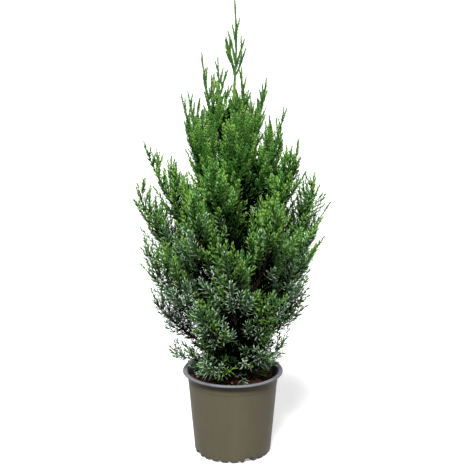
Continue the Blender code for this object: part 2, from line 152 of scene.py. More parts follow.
TIP_WANDER = 0.014
ROOT_STEP = 0.0025
REACH_LEAST, REACH_MOST = 0.95, 1.01
SIDE_BOW = 0.006
BEND_LOW = (0.33, 0.25)
BEND_HIGH = (0.80, 0.62)
BOUGH_SHARE = 0.30
BOUGH_STEPS = 12
BOUGH_RADIUS = 0.0030
BOUGH_TIP_RADIUS = 0.0019
BOUGH_SWELL = (1.25, 1.15)
BOUGH_SIDES = 12
COLLAR = 0.004
ROOTED = 0.6
BOUGH_BARK = 1.5
STEM_STEPS = 20
STEM_TIP_RADIUS = 0.0007
STEM_SIDES, TWIG_SIDES = 7, 3
WOODY_STEM, WOODY_STEM_LOW_DOWN, WOODY_TWIG = 0.45, 0.20, 0.30

# Twigs by even turns and steps, then shoots on the twigs
TWIG_TURN = math.radians(271.77)
TWIG_STEP = 0.569840
FIRST_TWIG, LAST_TWIG = 0.04, 0.90
LEADER_TWIG = 0.045
LEADER_TWIGS = 8
LEADER_LAST = 0.62
TWIG_STEPS = 8
TWIG_ANGLE = math.radians(42)
TWIG_LIFT = 0.22
SHORTEN_UPWARDS = 0.92
LENGTH_RANGE = (0.70, 1.25)
LEAN_RANGE = (0.80, 1.15)
SHORTER = (1.0, 0.80, 0.62)
MOST_TRIES = 400
CELL_MARGIN = -0.010
OUTLINE_SLACK = 0.012
LIMB_MARGIN = 0.0010
POT_MARGIN = 0.0020
SHOOT_SHARE = 0.42
SHOOT_LEAST = (0.026, 0.026, 0.024, 0.013, 0.006, 0.005)
SHOOT_MOST = 0.042
LAST_SHOOT = 0.62
SHOOT_STEPS = 3
SHOOT_TRIES = 3
COLOUR_SEED, SHOOT_SEED = 5000, 37
SHOOT_PULL = 0.30

# Shares of each axis that are bare at its foot
BARE_STEM, BARE_LEADER, BARE_TWIG, BARE_INNER_TWIG, BARE_SHOOT = 0.34, 0.20, 0.12, 0.16, 0.10

# What changes with height, at these shares of the way from the compost to the tip
LEVELS = (0.0, 0.20, 0.42, 0.62, 0.80, 1.0)
NEEDLE_LENGTH = (0.0152, 0.0150, 0.0134, 0.0090, 0.0046, 0.0042)
NEEDLE_SPREAD = (58, 50, 44, 33, 27, 25)
NEEDLE_WIDTH = (0.0017, 0.0017, 0.0017, 0.0021, 0.0026, 0.0026)
WHORL_PITCH = (0.0049, 0.0048, 0.0044, 0.0033, 0.0025, 0.0023)
TWIG_SPACING = (0.0120, 0.0118, 0.0108, 0.0084, 0.0074, 0.0080)
SHOOT_SPACING = (0.0132, 0.0126, 0.0112, 0.0074, 0.0064, 0.0076)
SHOOT_EVERY = (0.0110, 0.0110, 0.0105, 0.0100, 0.0130, 0.0170)
UPWARD_PULL = (0.10, 0.35, 0.75, 1.00, 1.00, 0.80)
SHOOT_ANGLE = (46, 38, 34, 30, 28, 27)
TWIG_RADIUS = (0.0009, 0.0009, 0.0010, 0.0012, 0.0016, 0.0016)
# Inside this share of the crown's radius, sprays take the near-black shaded kind: painted shade
SHADE_REACH = (0.68, 0.68, 0.60, 0.30, 0.0, 0.0)
SCALE_LEAVES = 0.60
# Share at the foot of each spray whose needles take the near-black shaded kind: partly darker old needles,
# partly painted shade
OLD_AND_SHADED_SHARE = (0.30, 0.30, 0.25, 0.12, 0.0, 0.0)
TIP_TAPER = (0.014, 0.015, 0.017, 0.020, 0.012, 0.010)
SHOOT_SLIMNESS = 0.85
TWIG_POINT = 0.70
YOUNG_TIP, YOUNG_MOST = 0.020, 0.55

# Whorls: each is turned a sixth of a turn on the last, and the needles of a tip are shorter and closer
WHORL_TURN = math.radians(60)
THIRDS = np.array([0.0, 1.0, 2.0]) * 2 * math.pi / 3
TURN_WANDER = 0.10
LENGTH_WANDER, WHORL_WANDER = (0.82, 1.12), (0.75, 1.2)
SPREAD_WANDER, WIDTH_WANDER = (0.82, 1.15), (0.88, 1.1)
TIP_SHORTENING, TIP_CLOSING = 0.38, 0.62
NEEDLE_SEAT = 0.0003
NEEDLE_ROUGHNESS, NEEDLE_SHEEN = 0.55, 0.14
BLOOM_ROUGHNESS, BLOOM_SHEEN = 0.6, 0.2
PAST_THE_SOLIDS = 0.002
OFF_AXIS = (0.31, 0.86, 0.41)

# Twigs inside the crown: on the trunk, on its young stretch and on the bare boughs
Inner = namedtuple("Inner", "seed twigs longest angle shoot_angle shoot_share")
INNER_ON_TRUNK = Inner(900, 170, 0.084, 1.05, 0.80, 0.80)
INNER_ON_YOUNG = Inner(901, 50, 0.072, 0.60, 0.45, 0.50)
INNER_ON_BOUGH = Inner(910, 16, 0.062, 0.90, 0.80, 0.80)
INNER_FOOT, INNER_TOP, YOUNG_TOP = 0.02, 0.46, 0.606
INNER_POINTS, YOUNG_POINTS = 30, 12
INNER_SEED = 77
INNER_LENGTHS = (0.55, 1.0)
INNER_PULL = 0.45
INNER_TRIES = 8
INNER_SHOOTS = 6
INNER_SPACING = 0.0060
TRUNK_POINTS, GREEN_POINTS = 24, 15
TRUNK_FULLNESS, TRUNK_PITCH = 1.3, 1.5

# How colours are dealt out: by the share of the height, the share of the crown's radius, and odds
WITHERED_TOP, WITHERED_REACH, WITHERED_ODDS = 0.36, 0.45, 0.24
SHADE_WANDER, SHADED_TIP_ODDS = (0.8, 1.2), 0.7
BLUE_FOOT, BLUE_SPAN = 0.10, 0.42
CORD_STARTS = (0.58, 0.72)
YOUNG_ODDS_BLUE, YOUNG_ODDS_GREEN = 0.34, 0.58
YOUNG_ODDS_FALL, YOUNG_ODDS_TURN = 0.3, 0.5

PARTS = ("lower", "middle", "upper")
KINDS = ("young", "green", "cord", "blue", "shaded", "withered")
YOUNG, GREEN, CORD, BLUE, SHADED, WITHERED = range(6)


def paint(red, green, blue):
    """A linear colour from one as a screen shows it, 0 to 255."""
    shares = [level / 255 for level in (red, green, blue)]
    linear = [share / 12.92 if share <= 0.04045 else ((share + 0.055) / 1.055) ** 2.4 for share in shares]
    return (*linear, 1.0)


COLOURS = {
    "young": paint(134, 182, 80),
    "green": paint(68, 130, 46),
    "cord": paint(90, 140, 62),
    "blue": paint(82, 144, 86),
    # shaded: near black, painted shade for needles deep inside the crown, standing in for the shadow there
    "shaded": paint(4, 11, 3),
    "withered": paint(128, 66, 34),
    # Upper sides of long needles: partly the real pale bloom, partly painted highlight from the light above
    "bloom": paint(198, 228, 192),
    "green_bloom": paint(160, 212, 122),
    "twig_green": paint(74, 124, 50),
    "twig_brown": paint(46, 30, 21),
}


# Materials


def linked(tree, kind, **places):
    """A new node of that kind, with each named input fed by a socket or set to a value."""
    node = tree.nodes.new(kind)
    for label, value in places.items():
        target = node.inputs[label.replace("_", " ")]
        if isinstance(value, bpy.types.NodeSocket):
            tree.links.new(value, target)
        else:
            target.default_value = value
    return node


def mottle_group():
    """Two colours mixed by soft patches, with a height for the bump. The pattern is set in metres."""
    tree = bpy.data.node_groups.new("mottle", "ShaderNodeTree")
    for label, kind, value in (
        ("Dark", "Color", (0, 0, 0, 1)),
        ("Light", "Color", (1, 1, 1, 1)),
        ("Scale", "Float", 100.0),
        ("Stretch", "Vector", (1, 1, 1)),
        ("Low", "Float", 0.35),
        ("High", "Float", 0.65),
    ):
        made = tree.interface.new_socket(name=label, in_out="INPUT", socket_type=f"NodeSocket{kind}")
        made.default_value = value
    tree.interface.new_socket(name="Colour", in_out="OUTPUT", socket_type="NodeSocketColor")
    tree.interface.new_socket(name="Height", in_out="OUTPUT", socket_type="NodeSocketFloat")
    given = tree.nodes.new("NodeGroupInput").outputs
    out = tree.nodes.new("NodeGroupOutput")
    stretched = tree.nodes.new("ShaderNodeVectorMath")
    stretched.operation = "MULTIPLY"
    tree.links.new(tree.nodes.new("ShaderNodeTexCoord").outputs["Object"], stretched.inputs[0])
    tree.links.new(given["Stretch"], stretched.inputs[1])
    patches = linked(
        tree,
        "ShaderNodeTexNoise",
        Vector=stretched.outputs[0],
        Scale=given["Scale"],
        Detail=5.0,
        Roughness=0.6,
    )
    share = linked(
        tree,
        "ShaderNodeMapRange",
        Value=patches.outputs["Fac"],
        From_Min=given["Low"],
        From_Max=given["High"],
    )
    mixed = tree.nodes.new("ShaderNodeMix")
    mixed.data_type = "RGBA"
    tree.links.new(share.outputs[0], mixed.inputs[0])
    tree.links.new(given["Dark"], mixed.inputs[6])
    tree.links.new(given["Light"], mixed.inputs[7])
    tree.links.new(mixed.outputs[2], out.inputs["Colour"])
    tree.links.new(patches.outputs["Fac"], out.inputs["Height"])
    return tree


MOTTLE = mottle_group()


def plain(name, colour, roughness, specular=0.35):
    """An even finish, for needles and shoots whose colours are dealt out by spray."""
    made = bpy.data.materials.new(name)
    made.use_nodes = True
    shader = made.node_tree.nodes["Principled BSDF"]
    shader.inputs["Base Color"].default_value = colour
    shader.inputs["Roughness"].default_value = roughness
    shader.inputs["Specular IOR Level"].default_value = specular
    return made


def mottled(
    name, dark, light, scale, roughness, bump=0.0, stretch=(1, 1, 1), span=(0.35, 0.65), specular=0.4
):
    """A finish with soft patches between two colours, and a bump of the same pattern."""
    made = bpy.data.materials.new(name)
    made.use_nodes = True
    tree = made.node_tree
    shader = tree.nodes["Principled BSDF"]
    shader.inputs["Roughness"].default_value = roughness
    shader.inputs["Specular IOR Level"].default_value = specular
    patches = tree.nodes.new("ShaderNodeGroup")
    patches.node_tree = MOTTLE
    patches.inputs["Dark"].default_value = dark
    patches.inputs["Light"].default_value = light
    patches.inputs["Scale"].default_value = scale
    patches.inputs["Stretch"].default_value = stretch
    patches.inputs["Low"].default_value, patches.inputs["High"].default_value = span
    tree.links.new(patches.outputs["Colour"], shader.inputs["Base Color"])
    if bump:
        height = patches.outputs["Height"]
        relief = linked(tree, "ShaderNodeBump", Height=height, Distance=bump, Strength=1.0)
        tree.links.new(relief.outputs["Normal"], shader.inputs["Normal"])
    return made


def wall_finish():
    """The pot's outside: taupe plastic with faint rings from its forming and soft smears."""
    made = mottled(
        "pot_outside",
        paint(96, 90, 73),
        paint(102, 95, 77),
        scale=34.0,
        roughness=0.55,
        stretch=(1, 1, 0.35),
        specular=0.2,
    )
    tree = made.node_tree
    shader = tree.nodes["Principled BSDF"]
    place = tree.nodes.new("ShaderNodeTexCoord").outputs["Object"]
    height = linked(tree, "ShaderNodeSeparateXYZ", Vector=place).outputs["Z"]
    rows = linked(tree, "ShaderNodeCombineXYZ", Z=height).outputs[0]
    rings = linked(tree, "ShaderNodeTexNoise", Vector=rows, Scale=420.0, Detail=3.0, Roughness=0.7)
    relief = linked(tree, "ShaderNodeBump", Height=rings.outputs["Fac"], Distance=0.00012, Strength=0.6)
    tree.links.new(relief.outputs["Normal"], shader.inputs["Normal"])
    smears = linked(tree, "ShaderNodeTexNoise", Vector=place, Scale=60.0, Detail=6.0, Roughness=0.65)
    gloss = linked(tree, "ShaderNodeMapRange", Value=smears.outputs["Fac"], To_Min=0.50, To_Max=0.68)
    tree.links.new(gloss.outputs[0], shader.inputs["Roughness"])
    return made


# Meshes


def mesh_of(name, shape):
    """That bmesh as a mesh, and frees it."""
    mesh = bpy.data.meshes.new(name)
    shape.to_mesh(mesh)
    shape.free()
    return mesh


class Joined:
    """Many small closed things of triangles, gathered into one mesh."""

    def __init__(self):
        self.points = []
        self.faces = []
        self.slots = []
        self.count = 0

    def add(self, points, faces, slots):
        """Adds one of them, or several, with their faces counted from the first of these points."""
        self.points.append(points)
        self.faces.append(np.asarray(faces) + self.count)
        self.slots.append(np.broadcast_to(slots, len(faces)))
        self.count += len(points)

    def mesh(self, name):
        """All of them as a mesh, each face with the slot of its finish."""
        mesh = bpy.data.meshes.new(name)
        points, faces = np.vstack(self.points), np.vstack(self.faces)
        mesh.vertices.add(len(points))
        mesh.vertices.foreach_set("co", np.ascontiguousarray(points, np.float32).ravel())
        mesh.loops.add(faces.size)
        mesh.loops.foreach_set("vertex_index", np.ascontiguousarray(faces, np.int32).ravel())
        mesh.polygons.add(len(faces))
        mesh.polygons.foreach_set("loop_start", np.arange(0, faces.size, 3, dtype=np.int32))
        mesh.polygons.foreach_set("material_index", np.concatenate(self.slots).astype(np.int32))
        mesh.update(calc_edges=True)
        return mesh


def placed(name, mesh, finishes, replaced=()):
    """A finished piece with its materials, riding on the plant."""
    piece = bpy.data.objects.new(name, mesh)
    bpy.context.scene.collection.objects.link(piece)
    for finish in finishes:
        mesh.materials.append(finish)
    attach(piece, "root")
    if replaced:
        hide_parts(*replaced)


def spun(profile, segments):
    """A closed profile of (radius, height) points turned once round Z, from the axis to the axis."""
    shape = bmesh.new()
    corners = [shape.verts.new((radius, 0.0, height)) for radius, height in profile]
    edges = [shape.edges.new(pair) for pair in zip(corners, corners[1:])]
    bmesh.ops.spin(
        shape,
        geom=corners + edges,
        cent=(0, 0, 0),
        axis=(0, 0, 1),
        angle=2 * math.pi,
        steps=segments,
        use_merge=True,
    )
    bmesh.ops.remove_doubles(shape, verts=shape.verts, dist=1e-6)
    bmesh.ops.recalc_face_normals(shape, faces=shape.faces)
    return shape


# Pot


def wall_radius(height):
    """Outer radius of the pot's wall, which tapers from the neck to the foot."""
    return FOOT_RADIUS + (NECK_RADIUS - FOOT_RADIUS) * height / POT_HEIGHT


def eased(share):
    """That share of a rise with a soft start and end."""
    return share * share * (3 - 2 * share)


def notch_rise(azimuth):
    """How far the foot is cut up at that azimuth: by small notches, with a wide one every quarter turn."""
    turn = (azimuth - WIDE_NOTCH_AZIMUTH) / (2 * math.pi) * NOTCHES
    number = round(turn)
    away = abs(turn - number) * 2 * math.pi / NOTCHES
    wide_turn = turn / WIDE_NOTCH_EVERY
    wide_away = abs(wide_turn - round(wide_turn)) * WIDE_NOTCH_EVERY * 2 * math.pi / NOTCHES
    if wide_away < WIDE_NOTCH_HALF:
        return WIDE_NOTCH_RISE * eased(min(1.0, (WIDE_NOTCH_HALF - wide_away) / WIDE_NOTCH_EDGE))
    if number % WIDE_NOTCH_EVERY == 0 or away > NOTCH_HALF:
        return 0.0
    return NOTCH_RISE * eased(1 - away / NOTCH_HALF)


def make_pot():
    """The thin pot: rolled grey rim, stacking ring, tapered wall, and a foot with drainage notches."""
    top, wall = POT_HEIGHT, POT_WALL
    outside = [
        (0.0, 0.0),
        (PAD_RADIUS * 0.5, 0.0),
        (PAD_RADIUS, 0.0),
        (FOOT_RADIUS - 0.0034, 0.0),
        (FOOT_RADIUS - 0.0018, 0.0004),
        (FOOT_RADIUS - 0.0007, 0.0014),
        (FOOT_RADIUS - 0.0001, 0.0030),
    ]
    outside += [(wall_radius(z), z) for z in (0.0055, 0.008, NOTCH_TOP)]
    outside += [(wall_radius(z), z) for z in np.linspace(0.02, RING_HEIGHT - 0.003, 14)]
    outside += [
        (wall_radius(RING_HEIGHT - 0.0012), RING_HEIGHT - 0.0012),
        (wall_radius(RING_HEIGHT) + 0.00035, RING_HEIGHT - 0.0003),
        (wall_radius(RING_HEIGHT) + 0.0005, RING_HEIGHT + 0.0006),
        (wall_radius(RING_HEIGHT) + 0.00045, RING_HEIGHT + 0.004),
        (wall_radius(RING_HEIGHT) + 0.0009, 0.1345),
        (NECK_RADIUS - 0.0001, top - 0.0045),
        (NECK_RADIUS, top - 0.0034),
        (NECK_RADIUS + 0.0004, top - 0.0025),
        (NECK_RADIUS + 0.0014, top - 0.0019),
    ]
    rim = [
        (NECK_RADIUS + 0.0030, top - 0.0016),
        (RIM_RADIUS - 0.0024, top - 0.0016),
        (RIM_RADIUS - 0.0014, top - 0.0020),
        (RIM_RADIUS - 0.0011, top - 0.0030),
        (RIM_RADIUS - 0.0008, top - 0.0034),
        (RIM_RADIUS - 0.0003, top - 0.0033),
        (RIM_RADIUS, top - 0.0028),
        (RIM_RADIUS, top - 0.0014),
        (RIM_RADIUS - 0.0004, top - 0.0006),
        (RIM_RADIUS - 0.0012, top - 0.0001),
        (RIM_RADIUS - 0.0022, top),
        (NECK_RADIUS + 0.0034, top - 0.0002),
        (NECK_RADIUS + 0.0016, top - 0.0006),
        (NECK_RADIUS + 0.0002, top - 0.0014),
        (NECK_RADIUS - wall * 0.9, top - 0.0030),
    ]
    inside = [(wall_radius(z) - wall, z) for z in (0.136, RING_HEIGHT, 0.09, 0.05, NOTCH_TOP, 0.007)]
    inside += [(FOOT_RADIUS - 0.0028, 0.0022), (PAD_RADIUS, wall), (PAD_RADIUS * 0.5, wall), (0.0, wall)]
    shape = spun(outside + rim + inside, POT_SEGMENTS)
    for vertex in shape.verts:
        x, y, z = vertex.co
        reach = math.hypot(x, y)
        if reach > PAD_RADIUS + wall and z < NOTCH_TOP:
            share = min(1.0, (reach - PAD_RADIUS) / (FOOT_RADIUS - 0.004 - PAD_RADIUS))
            vertex.co.z = z + notch_rise(math.atan2(y, x)) * (1 - z / NOTCH_TOP) * share
    underlip = top - 0.0018
    for face in shape.faces:
        middle = face.calc_center_median()
        reach = math.hypot(middle.x, middle.y)
        outer = wall_radius(middle.z) - wall / 2 < reach < NECK_RADIUS + 0.0022 and middle.z < underlip
        face.material_index = 0 if outer or middle.z < wall / 2 else 1
        face.smooth = True
    outside_finish = wall_finish()
    rim_finish = mottled(
        "pot_rim",
        paint(110, 113, 119),
        paint(126, 128, 134),
        scale=70.0,
        roughness=0.62,
        bump=0.00003,
        specular=0.35,
    )
    placed("pot_moulding", mesh_of("pot_moulding", shape), [outside_finish, rim_finish], ["pot"])


# Compost


def ground(x, y):
    """Height of the compost's rough top at that place."""
    reach = math.hypot(x, y)
    mound = SOIL_MOUND * max(0.0, 1 - (reach / MOUND_REACH) ** 2)
    lumps = LUMP_HEIGHT * noise.noise(Vector((x, y, 0.0)) * LUMPS_A_METRE)
    lumps += CRUMB_HEIGHT * noise.noise(Vector((x, y, 3.0)) * CRUMBS_A_METRE)
    return SOIL_TOP - SOIL_SUNK + mound + lumps * min(1.0, reach / EVEN_REACH)


def make_compost():
    """The bed of compost, turned in close rings, with its top roughened."""
    edge = wall_radius(SOIL_TOP) - POT_WALL - FIT_GAP
    profile = [(0.0, SOIL_TOP)]
    profile += [(radius, SOIL_TOP) for radius in np.linspace(0.0012, edge, SOIL_RINGS)]
    profile += [
        (wall_radius(NOTCH_TOP) - POT_WALL - FIT_GAP, 1.4 * NOTCH_TOP),
        (FOOT_RADIUS - 0.006, WIDE_NOTCH_RISE + 2 * POT_WALL),
        (PAD_RADIUS - 2 * POT_WALL, POT_WALL + FIT_GAP),
        (0.0, POT_WALL + FIT_GAP),
    ]
    shape = spun(profile, SOIL_SEGMENTS)
    for vertex in shape.verts:
        if vertex.co.z > SOIL_TOP - 1e-5:
            vertex.co.z = ground(vertex.co.x, vertex.co.y)
    for face in shape.faces:
        face.smooth = True
    finish = mottled(
        "compost_finish",
        paint(12, 8, 6),
        paint(46, 29, 21),
        scale=260.0,
        roughness=0.92,
        bump=0.0012,
        span=(0.38, 0.72),
        specular=0.2,
    )
    placed("compost_bed", mesh_of("compost_bed", shape), [finish], ["compost"])


CHIP_CORNERS = np.array([(x, y, z) for z in (-0.5, 0.5) for y in (-0.5, 0.5) for x in (-0.5, 0.5)])
CHIP_SIDES = ((0, 2, 3, 1), (4, 5, 7, 6), (0, 1, 5, 4), (2, 6, 7, 3), (0, 4, 6, 2), (1, 3, 7, 5))
CHIP_FACES = np.array([half for a, b, c, d in CHIP_SIDES for half in ((a, b, c), (a, c, d))])
Chips = namedtuple("Chips", "number longest")
CHIPS = (Chips(900, 0.0040), Chips(330, 0.0090), Chips(150, 0.0110), Chips(26, 0.0060))


def make_chips():
    """Crumbs, red and dark chips of bark and a few pale splinters on the compost, in the order of CHIPS."""
    rng = np.random.default_rng(41)
    chips = Joined()
    edge = wall_radius(SOIL_TOP) - POT_WALL - CHIP_RIM_GAP
    for slot, sort in enumerate(CHIPS):
        for _ in range(sort.number):
            reach, azimuth = edge * math.sqrt(rng.uniform(0.004, 1)), rng.uniform(0, 2 * math.pi)
            x, y = reach * math.cos(azimuth), reach * math.sin(azimuth)
            if math.hypot(x - TRUNK_OFFSET.x, y) < CHIP_TRUNK_GAP:
                continue
            long = sort.longest * rng.uniform(*CHIP_LENGTHS)
            size = np.array([long, long * rng.uniform(*CHIP_WIDTHS), long * rng.uniform(*CHIP_DEPTHS)])
            corners = (CHIP_CORNERS + rng.uniform(-CHIP_BLUNTNESS, CHIP_BLUNTNESS, (8, 3))) * size
            turn = Quaternion((0, 0, 1), rng.uniform(0, 2 * math.pi))
            level = (rng.uniform(-1, 1), rng.uniform(-1, 1), 0.001)
            turn = Quaternion(level, rng.uniform(0, CHIP_TILT)) @ turn
            corners = corners @ np.array(turn.to_matrix()).T
            lift = ground(x, y) + size[2] * CHIP_CLEAR + rng.uniform(0, CHIP_LIFT)
            chips.add(corners + (x, y, lift), CHIP_FACES, slot)
    finishes = [plain("crumb", paint(34, 22, 16), 0.9, 0.2)]
    for name, dark, light, roughness in (
        ("red_chip", paint(50, 25, 15), paint(104, 56, 32), 0.8),
        ("dark_chip", paint(28, 18, 14), paint(62, 40, 28), 0.85),
    ):
        finishes.append(mottled(name, dark, light, 300.0, roughness, span=(0.3, 0.7), specular=0.2))
    finishes.append(plain("pale_chip", paint(176, 150, 116), 0.8, 0.2))
    placed("bark_chips", chips.mesh("bark_chips"), finishes)


# Trunk and boughs


def trunk_centre(height):
    """The trunk's axis: a slight lean and one slow sway between the compost and the leader."""
    share = (height - TRUNK_FOOT) / (TRUNK_TOP - TRUNK_FOOT)
    lean = TRUNK_OFFSET.lerp(Vector((LEADER_TIP.x, LEADER_TIP.y, 0.0)), share)
    sway = TRUNK_SWAY * math.sin(2 * math.pi * share) * share
    return Vector((lean.x + sway, lean.y - SIDE_SWAY * sway, height))


def trunk_radius(height):
    """The trunk's taper, with its root flare in the last centimetre over the compost."""
    share = min(max((height - TRUNK_FOOT) / (TRUNK_TOP - TRUNK_FOOT), 0.0), 1.0)
    flare = FLARE_RADIUS * max(0.0, 1 - (height - TRUNK_FOOT) / FLARE_HEIGHT) ** 2
    return TRUNK_RADIUS + (TRUNK_TOP_RADIUS - TRUNK_RADIUS) * share**TRUNK_FALL + flare


def relief(azimuth, along, seed):
    """Stringy bark: long narrow strips that lift a little, and finer cracks between them."""
    x, y = math.cos(azimuth) * STRIPS_ROUND, math.sin(azimuth) * STRIPS_ROUND
    place = Vector((x, y, along * STRIPS_A_METRE + seed))
    strips = 1 - 2 * abs(noise.noise(place))
    cracks = noise.noise(Vector((place.x * CRACKS_ROUND, place.y * CRACKS_ROUND, place.z * CRACKS_ALONG)))
    return BARK_STRIPS * strips + BARK_CRACKS * cracks


def grown_limb(shape, points, radii, sides, seed):
    """A limb with bark relief: a ring of edges drawn up along those points, then closed."""
    along = [(b - a).normalized() for a, b in zip(points, points[1:])]
    along.append(along[-1])
    turn = Vector((0, 0, 1)).rotation_difference(along[0])
    ring = bmesh.ops.create_circle(shape, segments=sides, radius=1.0)["verts"]
    angles = {vertex: math.atan2(vertex.co.y, vertex.co.x) for vertex in ring}
    travelled = 0.0
    foot_edges = list({edge for vertex in ring for edge in vertex.link_edges})
    edges = foot_edges
    for number, (point, radius) in enumerate(zip(points, radii)):
        if number:
            turn = along[number - 1].rotation_difference(along[number]) @ turn
            travelled += (point - points[number - 1]).length
            drawn = bmesh.ops.extrude_edge_only(shape, edges=edges)["geom"]
            new_ring = [item for item in drawn if isinstance(item, bmesh.types.BMVert)]
            edges = [item for item in drawn if isinstance(item, bmesh.types.BMEdge)]
            new_angles = {}
            for vertex in new_ring:
                beside = (edge.other_vert(vertex) for edge in vertex.link_edges)
                new_angles[vertex] = next(angles[below] for below in beside if below in angles)
            edges = [edge for edge in edges if all(end in new_angles for end in edge.verts)]
            ring, angles = new_ring, new_angles
        for vertex in ring:
            angle = angles[vertex]
            bulge = 1 + relief(angle, travelled, seed)
            vertex.co = point + turn @ Vector((math.cos(angle), math.sin(angle), 0.0)) * (radius * bulge)
    bmesh.ops.holes_fill(shape, edges=foot_edges + edges, sides=0)


def crown_radius(height):
    """Half-width of the crown at that height."""
    heights, radii = zip(*CROWN_OUTLINE)
    return float(np.interp(height, heights, radii))


def bezier(corners, share):
    """A point on the cubic curve with those four corners."""
    a, b, c, d = corners
    rest = 1 - share
    return a * rest**3 + b * (3 * rest**2 * share) + c * (3 * rest * share**2) + d * share**3


def plan_branches():
    """Every branch, tier by tier: its name, its root on the trunk, the curve that it follows, its seed."""
    branches = []
    for number, tier in enumerate(TIERS):
        rng = random.Random(f"branches of {tier.name}")
        for index in range(tier.branches):
            azimuth = math.radians(tier.first_azimuth) + 2 * math.pi * index / tier.branches
            azimuth += rng.uniform(-AZIMUTH_WANDER, AZIMUTH_WANDER) * min(index, 1)
            tip_height = tier.tip_height + TIP_WANDER * rng.uniform(-1, 1) * min(index, 1)
            tip_height += tier.tilt * math.cos(azimuth)
            root_height = tier.root_height + ROOT_STEP * (2 * index % tier.branches)
            outward = Vector((math.cos(azimuth), math.sin(azimuth), 0.0))
            reach = crown_radius(tip_height) * (1 - tier.lean * outward.x)
            reach *= rng.uniform(REACH_LEAST, REACH_MOST)
            bow = outward.cross(Vector((0, 0, 1))) * rng.uniform(-SIDE_BOW, SIDE_BOW)
            on_bough = tier.name in TIERS_ON_BOUGHS
            thick = BOUGH_RADIUS if on_bough else BOUGH_TIP_RADIUS
            root = trunk_centre(root_height) + outward * (trunk_radius(root_height - thick) + TOUCH_GAP)
            start = root + outward * COLLAR
            rise = Vector((0, 0, tip_height - root_height))
            corners = (
                start,
                start + outward * (BEND_LOW[0] * reach) + rise * BEND_LOW[1] + bow,
                start + outward * (BEND_HIGH[0] * reach) + rise * BEND_HIGH[1] + bow * 2,
                outward * reach + Vector((0, 0, tip_height)),
            )
            branches.append(
                {
                    "name": f"{tier.name}_{index + 1}",
                    "tier": tier,
                    "on_bough": on_bough,
                    "root": root,
                    "inner": root - outward * trunk_radius(root_height) * ROOTED,
                    "corners": corners,
                    "seed": 100 * number + index,
                }
            )
    return branches


def bough_line(branch):
    """Points along the bare inner part of a branch, from inside the bark to where its mass begins."""
    shares = [BOUGH_SHARE * i / BOUGH_STEPS for i in range(BOUGH_STEPS + 1)]
    return [branch["inner"], branch["root"]] + [bezier(branch["corners"], share) for share in shares]


def stem_line(branch):
    """Points along the stem of a branch's mass, from its bough's tip or the trunk to its own tip."""
    first = BOUGH_SHARE if branch["on_bough"] else 0.0
    shares = [first + (1 - first) * i / STEM_STEPS for i in range(STEM_STEPS + 1)]
    points = [bezier(branch["corners"], share) for share in shares]
    return points if branch["on_bough"] else [branch["inner"], branch["root"]] + points


def leader_line():
    """Points along the leader, from the trunk's top to the tip of the plant."""
    foot = trunk_centre(TRUNK_TOP)
    shares = [i / STEM_STEPS for i in range(STEM_STEPS + 1)]
    return [foot.lerp(LEADER_TIP, share) + LEADER_SWAY * math.sin(math.pi * share) for share in shares]


def tapered(first, last, count):
    """Radii that fall evenly from the first to the last."""
    return [first + (last - first) * i / (count - 1) for i in range(count)]


def make_limbs(branches):
    """Trunk and boughs in one mesh with the bark's relief, brown below and green in the young wood above."""
    shape = bmesh.new()
    steps = round((TRUNK_TOP - TRUNK_FOOT) / RING_STEP)
    foot = TRUNK_FOOT - TRUNK_SUNK
    heights = [foot + (TRUNK_TOP - TRUNK_FOOT + TRUNK_SUNK) * i / steps for i in range(steps + 1)]
    centres = [trunk_centre(z) for z in heights]
    grown_limb(shape, centres, [trunk_radius(z) for z in heights], TRUNK_SIDES, 0.0)
    replaced = ["trunk"]
    for branch in branches:
        if branch["on_bough"]:
            line = bough_line(branch)
            radii = [BOUGH_RADIUS * swell for swell in BOUGH_SWELL]
            radii += tapered(BOUGH_RADIUS, BOUGH_TIP_RADIUS, len(line) - len(BOUGH_SWELL))
            grown_limb(shape, line, radii, BOUGH_SIDES, branch["seed"] + BOUGH_BARK)
            replaced.append(f"bough_{branch['name']}")
    bmesh.ops.recalc_face_normals(shape, faces=shape.faces)
    for face in shape.faces:
        face.smooth = True
        face.material_index = 1 if face.calc_center_median().z > GREEN_TRUNK else 0
    bark = mottled(
        "bark_strips",
        paint(58, 36, 26),
        paint(134, 92, 66),
        scale=420.0,
        roughness=0.85,
        bump=0.0004,
        stretch=(1, 1, 0.14),
        span=(0.3, 0.7),
        specular=0.2,
    )
    young = mottled("green_wood", paint(78, 112, 46), paint(112, 146, 66), 260.0, 0.6, stretch=(1, 1, 0.3))
    name = "bark_of_trunk_and_boughs"
    placed(name, mesh_of(name, shape), [bark, young], replaced)


# The rule by which twigs and shoots grow


def rows_of(points):
    """Those points as the rows of an array."""
    return np.array([tuple(point) for point in points])


def segments_of(points):
    """The stretches between those points, as two arrays of their ends."""
    ends = rows_of(points)
    return ends[:-1], ends[1:]


def square_to(along):
    """Two directions square to each of those and to each other."""
    across = np.cross(along, OFF_AXIS)
    across /= np.linalg.norm(across, axis=1)[:, None]
    return across, np.cross(along, across)


def distances(places, starts, stops):
    """How far each place is from each stretch."""
    along = stops - starts
    offset = places[:, None, :] - starts[None]
    share = (offset * along).sum(2) / np.maximum((along * along).sum(1), 1e-12)
    nearest = np.clip(share, 0, 1)[..., None] * along[None]
    return np.linalg.norm(offset - nearest, axis=2)


def over_the_pot(places):
    """Whether each place is clear of the pot's rim and of the compost."""
    across = np.hypot(places[:, 0], places[:, 1])
    over_pot = across < RIM_RADIUS + POT_MARGIN
    floor = np.where(across < NECK_RADIUS - 2 * POT_MARGIN, TRUNK_FOOT, POT_HEIGHT) + POT_MARGIN / 2
    return (places[:, 2] > TRUNK_FOOT) & ~(over_pot & (places[:, 2] < floor))


